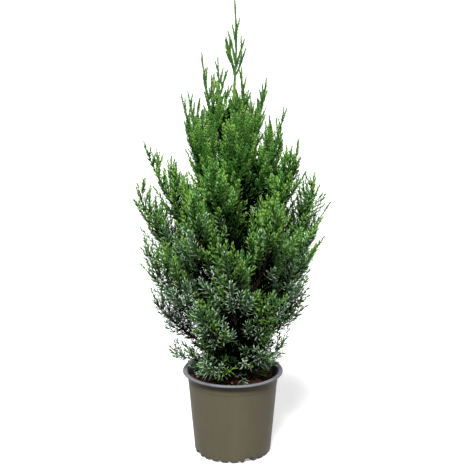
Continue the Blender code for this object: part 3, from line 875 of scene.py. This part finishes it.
class Space:
    """The space of each mass: nearer its own stem than another's, clear of limbs and pot, in the outline."""

    def __init__(self, stems, limbs):
        stretches = [segments_of(points[::3] + points[-1:]) for points in stems.values()]
        self.stems = [np.vstack(ends) for ends in zip(*stretches)]
        self.owners = np.repeat(list(stems), [len(starts) for starts, _ in stretches])
        self.limbs = [np.vstack(ends) for ends in zip(*(segments_of(points) for points, _ in limbs))]
        self.limb_radii = np.concatenate([np.maximum(radii[1:], radii[:-1]) for _, radii in limbs])

    def open_at(self, places, limb_margin, slack):
        """Whether all those places are clear of limbs, pot and compost, and inside the outline."""
        if (distances(places, *self.limbs) < self.limb_radii + limb_margin).any():
            return False
        outline = np.array([crown_radius(height) for height in places[:, 2]]) + slack
        return bool((np.hypot(places[:, 0], places[:, 1]) < outline).all() and over_the_pot(places).all())

    def clear(self, path):
        """Whether the outer part of an inner twig has room."""
        return self.open_at(rows_of(path[max(1, len(path) // 3) :]), LIMB_MARGIN / 2, 0.0)

    def nearest(self, place):
        """The mass whose stem is nearest to that place."""
        return str(self.owners[distances(rows_of([place]), *self.stems)[0].argmin()])

    def holds(self, name, path):
        """Whether a twig has room, and keeps to the space of the mass of that name."""
        places = rows_of(path[1:])
        if places[:, 2].max() > LEADER_TIP.z or not self.open_at(places, LIMB_MARGIN, OUTLINE_SLACK):
            return False
        away = distances(places, *self.stems)
        own = away[:, self.owners == name].min(1)
        others = away[:, self.owners != name].min(1)
        return not (own + CELL_MARGIN > others).any()


def point_along(points, share):
    """The point and the direction at that share of a line's length."""
    lengths = [(b - a).length for a, b in zip(points, points[1:])]
    left = share * sum(lengths)
    for a, b, length in zip(points, points[1:], lengths):
        if left <= length:
            return a.lerp(b, left / length), (b - a).normalized()
        left -= length
    return points[-1], (points[-1] - points[-2]).normalized()


def twig_plans(line, seed, longest, angle, pull, last=LAST_TWIG):
    """The endless row of a stem's twigs, by even turns and steps: root, direction and length of each."""
    rng = random.Random(seed)
    start = rng.uniform(0, 2 * math.pi)
    for number in itertools.count():
        share = FIRST_TWIG + (TWIG_STEP * number) % 1 * (last - FIRST_TWIG)
        root, along = point_along(line, share)
        side = Quaternion(along, start + number * TWIG_TURN) @ along.orthogonal().normalized()
        lean = angle * rng.uniform(*LEAN_RANGE)
        heading = along * math.cos(lean) + side * math.sin(lean)
        heading = (heading + Vector((0, 0, pull))).normalized()
        yield root, heading, longest * (1 - SHORTEN_UPWARDS * share) * rng.uniform(*LENGTH_RANGE)


def twig_line(root, heading, length, steps):
    """Points along a twig, which rises a little on the way."""
    lift = Vector((0, 0, TWIG_LIFT * length))
    return [root + heading * (length * i / steps) + lift * (i / steps) ** 2 for i in range(steps + 1)]


class Paths:
    """The twigs or shoots drawn so far on a mass, to keep the next ones apart."""

    def __init__(self):
        self.places = np.zeros((0, 3))

    def crowd(self, path, spacing):
        """Whether the outer part of that path comes closer than the spacing to one of the others."""
        outer = rows_of(path[len(path) // 3 :])
        return bool((np.linalg.norm(outer[:, None] - self.places[None], axis=2) < spacing).any())

    def add(self, path):
        """Keeps that path's places, apart from its root."""
        self.places = np.vstack([self.places, rows_of(path[1:])])


def height_share(height):
    """0 at the compost and 1 at the tip of the plant, for what changes on the way up."""
    return np.clip((np.asarray(height) - SOIL_TOP) / (LEADER_TIP.z - SOIL_TOP), 0.0, 1.0)


def at_height(values, height):
    """What those values, one for each level, come to at that height."""
    return np.interp(height_share(height), LEVELS, values)


class Growth:
    """All that grows on the masses: whorls of needles, and the axes that carry them."""

    def __init__(self):
        self.needles = []
        self.axes = []
        self.rng = np.random.default_rng(7)

    def axis(self, line, radii, kind, part, mass):
        """Keeps a stem, twig or shoot."""
        self.axes.append((rows_of(line), radii, kind, part, mass))

    def twig(self, line, kind, part, mass):
        """Keeps a twig or shoot, as thick as they are at that height."""
        radius = float(at_height(TWIG_RADIUS, line[0].z)) * (SHOOT_SLIMNESS if kind == "shoot" else 1.0)
        self.axis(line, tapered(radius, radius * TWIG_POINT, len(line)), kind, part, mass)

    def clothe(self, line, first, kind, tip_kind, part, mass, fullness=1.0, spacing=1.0):
        """Whorls of three needles along a line, from that share of its length to its tip."""
        ends = rows_of(line)
        steps = np.diff(ends, axis=0)
        lengths = np.linalg.norm(steps, axis=1)
        total = lengths.sum()
        pitch = float(at_height(WHORL_PITCH, ends[len(ends) // 2, 2])) * spacing
        count = max(2, int(total * (1 - first) / pitch))
        shares = np.linspace(first, 1.0, count)
        travelled = np.concatenate([[0.0], np.cumsum(lengths)])
        places = np.stack([np.interp(shares * total, travelled, ends[:, i]) for i in range(3)], 1)
        index = np.clip(np.searchsorted(travelled, shares * total, side="right") - 1, 0, len(steps) - 1)
        along = steps[index] / lengths[index][:, None]
        across, other = square_to(along)
        turns = self.rng.uniform(0, 2 * math.pi) + np.arange(count) * WHORL_TURN
        turns = turns[:, None] + THIRDS
        turns += self.rng.normal(0, TURN_WANDER, turns.shape)
        sides = across[:, None] * np.cos(turns)[..., None] + other[:, None] * np.sin(turns)[..., None]
        height = np.broadcast_to(places[:, None, 2], turns.shape)
        near_tip = np.clip((shares - 1) * total / at_height(TIP_TAPER, places[:, 2]) + 1, 0, 1)[:, None]
        length = at_height(NEEDLE_LENGTH, height) * fullness * self.rng.uniform(*LENGTH_WANDER, turns.shape)
        length = length * self.rng.uniform(*WHORL_WANDER, (count, 1)) * (1 - TIP_SHORTENING * near_tip)
        spread = np.radians(at_height(NEEDLE_SPREAD, height)) * self.rng.uniform(*SPREAD_WANDER, turns.shape)
        spread = spread * (1 - TIP_CLOSING * near_tip)
        width = at_height(NEEDLE_WIDTH, height) * self.rng.uniform(*WIDTH_WANDER, turns.shape)
        young = shares > 1 - min(YOUNG_MOST, YOUNG_TIP / total)
        kinds = np.where(young, tip_kind, kind)
        # The feet of green and blue sprays are near black: partly their older, darker needles, partly
        # painted shade
        if kind in (GREEN, BLUE):
            old_and_shaded = shares < first + float(at_height(OLD_AND_SHADED_SHARE, ends[0, 2])) * (1 - first)
            kinds = np.where(old_and_shaded & ~young, SHADED, kinds)
        rows = {
            "place": np.repeat(places, 3, axis=0),
            "along": np.repeat(along, 3, axis=0),
            "side": sides.reshape(-1, 3),
            "length": length.ravel(),
            "spread": spread.ravel(),
            "width": width.ravel(),
            "kind": np.repeat(kinds, 3),
            "part": np.full(length.size, part),
            "mass": np.full(length.size, mass),
        }
        self.needles.append(rows)


def spray_kinds(rng, tip, inner):
    """The colour of a spray and of its tip, by how high and how far out it is. Deep inside the crown it is
    near black, painted shade.
    """
    share = float(height_share(tip.z))
    reach = math.hypot(tip.x, tip.y) / crown_radius(tip.z)
    if inner and share < WITHERED_TOP and reach < WITHERED_REACH and rng.random() < WITHERED_ODDS:
        return WITHERED, WITHERED
    # Sprays deep inside the crown take the near-black shaded kind: painted shade
    if reach < at_height(SHADE_REACH, tip.z) * rng.uniform(*SHADE_WANDER):
        return SHADED, SHADED if rng.random() < SHADED_TIP_ODDS else GREEN
    if rng.random() > (share - BLUE_FOOT) / BLUE_SPAN:
        kind, young_odds = BLUE, YOUNG_ODDS_BLUE
    else:
        kind = GREEN if share < rng.uniform(*CORD_STARTS) else CORD
        young_odds = YOUNG_ODDS_GREEN - YOUNG_ODDS_FALL * max(0.0, share - YOUNG_ODDS_TURN)
    return kind, YOUNG if rng.random() < young_odds else kind


def grow_mass(growth, name, part, line, radius, seed, longest, wanted, space):
    """One mass: its stem, the twigs that fit in its space, the shoots on each, and their needles."""
    rng = random.Random(seed + COLOUR_SEED)
    mass = f"foliage_{name}"
    is_leader = name == "leader"
    kind, tip_kind = spray_kinds(rng, line[-1], False)
    growth.axis(line, tapered(radius, STEM_TIP_RADIUS, len(line)), "stem", part, mass)
    growth.clothe(line, BARE_LEADER if is_leader else BARE_STEM, kind, tip_kind, part, mass)
    twigs, paths = [], Paths()
    pull = float(at_height(UPWARD_PULL, line[len(line) // 2].z))
    plans = twig_plans(line, seed, longest, TWIG_ANGLE, pull, LEADER_LAST if is_leader else LAST_TWIG)
    for _ in range(MOST_TRIES):
        if len(twigs) == wanted:
            break
        root, heading, length = next(plans)
        for shorter in SHORTER:
            path = twig_line(root, heading, length * shorter, TWIG_STEPS)
            apart = float(at_height(TWIG_SPACING, path[-1].z)) * shorter
            if paths.crowd(path, apart) or not space.holds(mass, path):
                continue
            twigs.append(path)
            paths.add(path)
            break
    for number, path in enumerate(twigs + [line]):
        if path is not line:
            kind, tip_kind = spray_kinds(rng, path[-1], True)
            growth.twig(path, "twig", part, mass)
            growth.clothe(path, BARE_TWIG, kind, tip_kind, part, mass)
        length = sum((b - a).length for a, b in zip(path, path[1:]))
        angle = math.radians(float(at_height(SHOOT_ANGLE, path[-1].z)))
        plans = twig_plans(path, seed * SHOOT_SEED + number, SHOOT_MOST, angle, SHOOT_PULL, LAST_SHOOT)
        wanted_shoots = round(length / at_height(SHOOT_EVERY, path[-1].z))
        apart = float(at_height(SHOOT_SPACING, path[-1].z))
        made = 0
        for _ in range(SHOOT_TRIES * wanted_shoots):
            if made == wanted_shoots:
                break
            root, heading, most = next(plans)
            most = min(most, max(float(at_height(SHOOT_LEAST, root.z)), SHOOT_SHARE * length))
            for shorter in SHORTER:
                shoot = twig_line(root, heading, most * shorter, SHOOT_STEPS)
                if paths.crowd(shoot[-1:], apart) or not space.holds(mass, shoot):
                    continue
                kind, tip_kind = spray_kinds(rng, shoot[-1], True)
                growth.twig(shoot, "shoot", part, mass)
                growth.clothe(shoot, BARE_SHOOT, kind, tip_kind, part, mass)
                paths.add(shoot)
                made += 1
                break


def trunk_stretch(foot, top, count):
    """Points along the trunk's axis between two heights."""
    return [trunk_centre(height) for height in np.linspace(foot, top, count)]


def grow_inside(growth, branches, space):
    """Twigs on the trunk and the bare boughs, which close the crown's middle. Many take the near-black
    shaded kind, painted shade.
    """
    rng = random.Random(INNER_SEED)
    trunk = trunk_stretch(TRUNK_FOOT + INNER_FOOT, INNER_TOP, INNER_POINTS)
    young = trunk_stretch(INNER_TOP, YOUNG_TOP, YOUNG_POINTS)
    carriers = [(trunk, 0, INNER_ON_TRUNK), (young, 0, INNER_ON_YOUNG)]
    parts = {f"foliage_{branch['name']}": branch["tier"].part for branch in branches}
    for branch in branches:
        if branch["on_bough"]:
            carriers.append((bough_line(branch)[2:], branch["seed"], INNER_ON_BOUGH))
    paths = Paths()
    for line, more, inner in carriers:
        seed = inner.seed + more
        plans = twig_plans(line, seed, inner.longest, inner.angle, INNER_PULL)
        made = 0
        for _ in range(INNER_TRIES * inner.twigs):
            if made == inner.twigs:
                break
            root, heading, length = next(plans)
            length *= rng.uniform(*INNER_LENGTHS)
            path = twig_line(root, heading, length, TWIG_STEPS)
            if paths.crowd(path, INNER_SPACING) or not space.clear(path):
                continue
            paths.add(path)
            made += 1
            mass = space.nearest(path[-1])
            part = parts.get(mass, "upper")
            kind, tip_kind = spray_kinds(rng, path[-1], True)
            growth.twig(path, "twig", part, mass)
            growth.clothe(path, BARE_INNER_TWIG, kind, tip_kind, part, mass)
            shoots = twig_plans(path, seed + made, SHOOT_MOST, inner.shoot_angle, SHOOT_PULL)
            for root, heading, most in itertools.islice(shoots, INNER_SHOOTS):
                shoot = twig_line(root, heading, most * inner.shoot_share, SHOOT_STEPS)
                if space.clear(shoot):
                    growth.twig(shoot, "shoot", part, mass)
                    growth.clothe(shoot, BARE_SHOOT, kind, tip_kind, part, mass)


# Needles: a keeled awl with a flat upper side for the long ones, a spike for the small ones and the
# near-black painted-shade ones

AWL = np.array(
    [
        (-0.5, 0.0, 0.0),
        (0.5, 0.0, 0.0),
        (0.45, 0.0, 0.68),
        (-0.45, 0.0, 0.68),
        (0.0, 0.0, 1.0),
        (0.0, -0.45, 0.3),
    ]
)
AWL_UPPER_FACES = ((2, 1, 0), (3, 2, 0), (4, 2, 3))
AWL_LOWER_FACES = ((1, 5, 0), (2, 5, 1), (4, 5, 2), (3, 5, 4), (0, 5, 3))
AWL_FACES = np.array(AWL_UPPER_FACES + AWL_LOWER_FACES)
# Slot 1, the upper side, takes a lighter finish: partly real bloom, partly painted highlight
AWL_SLOTS = np.array([1] * len(AWL_UPPER_FACES) + [0] * len(AWL_LOWER_FACES))
SPIKE = np.array([(-0.5, 0.1, 0.3), (0.5, 0.1, 0.3), (0.0, -0.55, 0.1), (0.0, 0.0, 1.0)])
SPIKE_FACES = np.array([(3, 1, 0), (3, 2, 1), (3, 0, 2), (0, 1, 2)])
SPIKE_SLOTS = np.zeros(len(SPIKE_FACES), int)


def needle_headings(rows):
    """Which way each needle of those rows points."""
    spread = rows["spread"][:, None]
    return rows["along"] * np.cos(spread) + rows["side"] * np.sin(spread)


def needle_points(rows, template):
    """The corners of every needle: the template's across and up in widths, and its along in lengths."""
    spread = rows["spread"][:, None]
    heading = needle_headings(rows)
    upper = rows["along"] * np.sin(spread) - rows["side"] * np.cos(spread)
    across = np.cross(upper, heading)
    root = rows["place"] + rows["side"] * NEEDLE_SEAT
    width, length = rows["width"][:, None, None], rows["length"][:, None, None]
    return (
        root[:, None]
        + across[:, None] * template[None, :, 0:1] * width
        + upper[:, None] * template[None, :, 1:2] * width
        + heading[:, None] * template[None, :, 2:3] * length
    )


def kept_needles(growth):
    """All needles in one table, but for those that would reach into the pot or past the solids."""
    table = {key: np.concatenate([rows[key] for rows in growth.needles]) for key in growth.needles[0]}
    tips = table["place"] + needle_headings(table) * table["length"][:, None]
    lowest, highest = rows_of(cad_box)
    inside = ((tips > lowest - PAST_THE_SOLIDS) & (tips < highest + PAST_THE_SOLIDS)).all(1)
    keep = over_the_pot(tips) & inside
    return {key: values[keep] for key, values in table.items()}


def needle_finishes():
    """For each kind its finish, and the one of the upper side of its long needles."""
    finishes = {}
    for kind in KINDS:
        # The shaded kind is painted shade, so it gets no sheen either
        sheen = 0.0 if kind == "shaded" else NEEDLE_SHEEN
        body = plain(f"needle_{kind}", COLOURS[kind], NEEDLE_ROUGHNESS, sheen)
        finishes[kind] = [body, body]
    # Lighter upper sides of blue and green needles: partly real bloom, partly painted highlight; the cord's
    # upper side is plain green
    for kind, name, colour in (
        ("blue", "needle_bloom", "bloom"),
        ("green", "needle_green_bloom", "green_bloom"),
        ("cord", "needle_cord_bloom", "green"),
    ):
        finishes[kind][1] = plain(name, COLOURS[colour], BLOOM_ROUGHNESS, BLOOM_SHEEN)
    return finishes


def make_needles(growth):
    """The needles, joined by colour and part of the crown."""
    table = kept_needles(growth)
    finishes = needle_finishes()
    spikes = (height_share(table["place"][:, 2]) > SCALE_LEAVES) | (table["kind"] == SHADED)
    for number, kind in enumerate(KINDS):
        for part in PARTS:
            chosen = (table["kind"] == number) & (table["part"] == part)
            if not chosen.any():
                continue
            needles = Joined()
            for sort, template, faces, slots in (
                (~spikes, AWL, AWL_FACES, AWL_SLOTS),
                (spikes, SPIKE, SPIKE_FACES, SPIKE_SLOTS),
            ):
                rows = {key: values[chosen & sort] for key, values in table.items()}
                count = len(rows["length"])
                first = np.arange(count)[:, None, None] * len(template)
                corners = needle_points(rows, template).reshape(-1, 3)
                needles.add(corners, (faces + first).reshape(-1, 3), np.tile(slots, count))
            masses = sorted(set(table["mass"][chosen].tolist()))
            name = f"needles_{kind}_{part}"
            placed(name, needles.mesh(name), finishes[kind], masses)


def tube(line, radii, sides):
    """A closed tube along a line: its corners, its faces, and each face's share of the way to the tip."""
    along = np.gradient(line, axis=0)
    along /= np.linalg.norm(along, axis=1)[:, None]
    across, other = square_to(along)
    angles = np.arange(sides) * 2 * math.pi / sides
    ring = across[:, None] * np.cos(angles)[:, None] + other[:, None] * np.sin(angles)[:, None]
    places = line[:, None] + ring * np.asarray(radii)[:, None, None]
    corners = np.vstack([places.reshape(-1, 3), line[-1] + along[-1] * radii[-1]])
    steps = len(line) - 1
    faces = []
    for i in range(steps):
        for j in range(sides):
            a, b = i * sides + j, i * sides + (j + 1) % sides
            faces += [(a, b, b + sides), (a, b + sides, a + sides)]
    last = steps * sides
    faces += [(last + j, last + (j + 1) % sides, last + sides) for j in range(sides)]
    faces += [(0, j + 1, j) for j in range(1, sides - 1)]
    shares = np.repeat(np.arange(steps), 2 * sides) / steps
    return corners, faces, np.concatenate([shares, np.ones(sides), np.zeros(sides - 2)])


def woody_share(kind, part, mass, height):
    """How far up that axis is brown. The young growth is green from its foot."""
    if kind == "shoot" or mass == "foliage_leader" or (kind == "twig" and height > GREEN_TRUNK):
        return 0.0
    if kind == "twig":
        return WOODY_TWIG
    return WOODY_STEM + WOODY_STEM_LOW_DOWN * (part != "upper")


def make_axes(growth):
    """Stems, twigs and shoots, joined by part of the crown, as tubes of a few sides."""
    brown = plain("twig_brown", COLOURS["twig_brown"], 0.8)
    green = plain("twig_green", COLOURS["twig_green"], 0.6)
    for part in PARTS:
        axes = Joined()
        masses = set()
        for line, radii, kind, where, mass in growth.axes:
            if where == part:
                corners, faces, shares = tube(line, radii, STEM_SIDES if kind == "stem" else TWIG_SIDES)
                axes.add(corners, faces, shares >= woody_share(kind, part, mass, line[0, 2]))
                masses.add(mass)
        mesh = axes.mesh(f"twigs_{part}")
        mesh.shade_smooth()
        placed(f"twigs_{part}", mesh, [brown, green], sorted(masses))


def grow_crown(branches):
    """Every mass grown in turn from the foot up, then the leader, the inside and the top of the trunk."""
    stems = {f"foliage_{branch['name']}": stem_line(branch) for branch in branches}
    stems["foliage_leader"] = leader_line()
    trunk = trunk_stretch(TRUNK_FOOT, TRUNK_TOP, TRUNK_POINTS)
    limbs = [(trunk, [trunk_radius(point.z) for point in trunk])]
    for branch in branches:
        if branch["on_bough"]:
            line = bough_line(branch)[2::3]
            limbs.append((line, tapered(BOUGH_RADIUS, BOUGH_TIP_RADIUS, len(line))))
    space = Space(stems, limbs)
    growth = Growth()
    for branch in branches:
        name, tier, seed = branch["name"], branch["tier"], branch["seed"]
        line, radius = stems[f"foliage_{name}"], BOUGH_TIP_RADIUS
        grow_mass(growth, name, tier.part, line, radius, seed, tier.longest_twig, tier.twigs, space)
    line = stems["foliage_leader"]
    grow_mass(growth, "leader", "upper", line, TRUNK_TOP_RADIUS, 0, LEADER_TWIG, LEADER_TWIGS, space)
    grow_inside(growth, branches, space)
    young = trunk_stretch(GREEN_TRUNK, TRUNK_TOP, GREEN_POINTS)
    growth.clothe(young, 0.0, GREEN, GREEN, "upper", "foliage_leader", TRUNK_FULLNESS, TRUNK_PITCH)
    return growth


# Floor, light and camera

Light = namedtuple("Light", "name azimuth elevation softness strength")
LIGHTS = (
    Light("key", 258, 53, 18, 5.0),
    Light("fill", 322, 30, 80, 0.55),
    Light("back", 80, 42, 60, 1.3),
)
GROUND_LIGHT, SKY_LIGHT = 0.015, 0.10
GROUND_END, SKY_START = -0.2, 0.3
FLOOR_RADIUS = 260.0
FLOOR_GLOW = 0.35
LIGHT_DISTANCE = 4
LENS, SENSOR_WIDTH, FARTHEST_SEEN = 84.3, 36.0, 600.0
CAMERA_PLACE = (-0.0013, -1.756, 0.773)
CAMERA_TILT = math.radians(90 - 12.51)


def make_floor():
    """A plain pale floor that glows a little, and so stays as pale as the photograph's ground."""
    shape = bmesh.new()
    bmesh.ops.create_circle(shape, cap_ends=True, segments=64, radius=FLOOR_RADIUS)
    floor = bpy.data.objects.new("floor", mesh_of("floor", shape))
    bpy.context.scene.collection.objects.link(floor)
    pale = plain("pale_floor", (0.95, 0.95, 0.95, 1.0), 0.9, 0.1)
    glow = pale.node_tree.nodes["Principled BSDF"]
    glow.inputs["Emission Color"].default_value = (1.0, 1.0, 1.0, 1.0)
    glow.inputs["Emission Strength"].default_value = FLOOR_GLOW
    floor.data.materials.append(pale)
    floor.visible_diffuse = False


def make_lights():
    """Wide soft lights, and a surround that is a little brighter above than below."""
    for row in LIGHTS:
        light = bpy.data.lights.new(row.name, "SUN")
        light.energy = row.strength
        light.angle = math.radians(row.softness)
        lamp = bpy.data.objects.new(row.name, light)
        turn, rise = math.radians(row.azimuth), math.radians(row.elevation)
        toward = Vector((math.cos(turn) * math.cos(rise), math.sin(turn) * math.cos(rise), math.sin(rise)))
        lamp.location = toward * LIGHT_DISTANCE
        lamp.rotation_euler = toward.to_track_quat("Z", "Y").to_euler()
        bpy.context.scene.collection.objects.link(lamp)
    world = bpy.data.worlds.new("surround")
    world.use_nodes = True
    tree = world.node_tree
    backdrop = tree.nodes["Background"]
    backdrop.inputs["Strength"].default_value = 1.0
    direction = tree.nodes.new("ShaderNodeTexCoord").outputs["Generated"]
    height = linked(tree, "ShaderNodeSeparateXYZ", Vector=direction).outputs["Z"]
    level = linked(tree, "ShaderNodeMapRange", Value=height, From_Min=GROUND_END, From_Max=SKY_START)
    level.inputs["To Min"].default_value = GROUND_LIGHT
    level.inputs["To Max"].default_value = SKY_LIGHT
    tree.links.new(level.outputs[0], backdrop.inputs["Color"])
    bpy.context.scene.world = world
    bpy.context.scene.view_settings.view_transform = "Standard"


def make_camera():
    """The photograph's viewpoint: in front of the plant and a little above its tip, looking down at it."""
    camera = bpy.data.objects.new("camera", bpy.data.cameras.new("camera"))
    camera.data.lens = LENS
    camera.data.sensor_width = SENSOR_WIDTH
    camera.data.clip_end = FARTHEST_SEEN
    camera.location = CAMERA_PLACE
    camera.rotation_euler = (CAMERA_TILT, 0.0, 0.0)
    bpy.context.scene.collection.objects.link(camera)
    bpy.context.scene.camera = camera


def main():
    """Makes every piece, then the floor, lights and camera."""
    branches = plan_branches()
    make_pot()
    make_compost()
    make_chips()
    make_limbs(branches)
    growth = grow_crown(branches)
    make_axes(growth)
    make_needles(growth)
    make_floor()
    make_lights()
    make_camera()


main()
